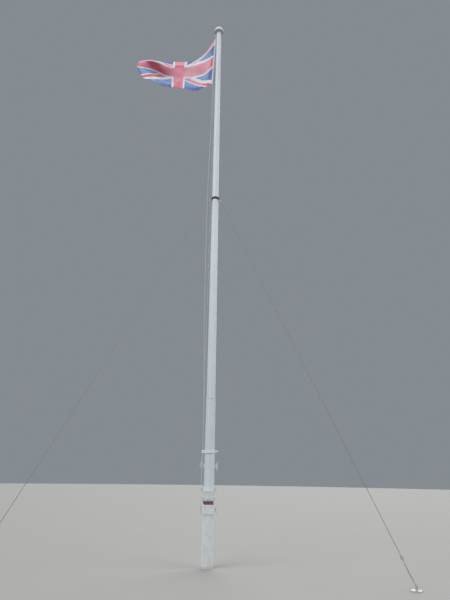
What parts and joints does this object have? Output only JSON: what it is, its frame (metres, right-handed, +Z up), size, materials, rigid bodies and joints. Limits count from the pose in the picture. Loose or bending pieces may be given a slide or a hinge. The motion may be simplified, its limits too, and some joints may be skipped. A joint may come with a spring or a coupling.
{
  "type": "flagpole",
  "caption": "Tall painted timber flagpole on a square heel post, with wire stays, a rope halyard on cleats, and a flag that slides between full and half mast.",
  "frame": {"origin": "middle of the heel post's foot, at ground level", "axes": "+Z up along the pole, +X to the right with the flag flying towards -X, +Y to the back"},
  "size_m": [6.6448, 5.9718, 12.2],
  "materials": {
    "paint": "satin",
    "timber": "matte",
    "iron": "matte",
    "zinc": "matte",
    "wire": "matte",
    "truck": "satin",
    "brass": "satin",
    "rope": "matte",
    "canvas": "matte",
    "cloth": "matte"
  },
  "bodies": {
    "mast": {"base_post": "paint", "post_head": "paint", "cheek_left": "paint", "cheek_right": "paint", "pole_heel": "timber", "heel_bolt": "iron", "lower_pole": "paint", "joint_ring": "paint", "upper_pole": "paint", "clamp_front": "paint", "clamp_back": "paint", "clamp_bolts": "iron", "guide_band": "paint", "guide_horn": "paint", "upper_cleat_left": "paint", "upper_cleat_right": "paint", "lower_cleat_left": "paint", "lower_cleat_right": "paint", "hound_band": "iron", "shackle_right": "zinc", "stay_right": "wire", "screw_right": "zinc", "forks_right": "zinc", "anchor_right": "zinc", "shackle_left": "zinc", "stay_left": "wire", "screw_left": "zinc", "forks_left": "zinc", "anchor_left": "zinc", "shackle_back": "zinc", "stay_back": "wire", "screw_back": "zinc", "forks_back": "zinc", "anchor_back": "zinc", "truck": "truck", "sheave": "brass", "sheave_pin": "iron", "halyard": "rope"},
    "flag": {"hoist_sleeve": "canvas", "flag_clips": "zinc", "flag_cloth": "cloth"}
  },
  "joints": [
    {"name": "flag_hoist", "type": "slide", "parent": "mast", "child": "flag", "axis": [-0.0216, 0, -0.9998], "range_m": [0, 2]}
  ]
}
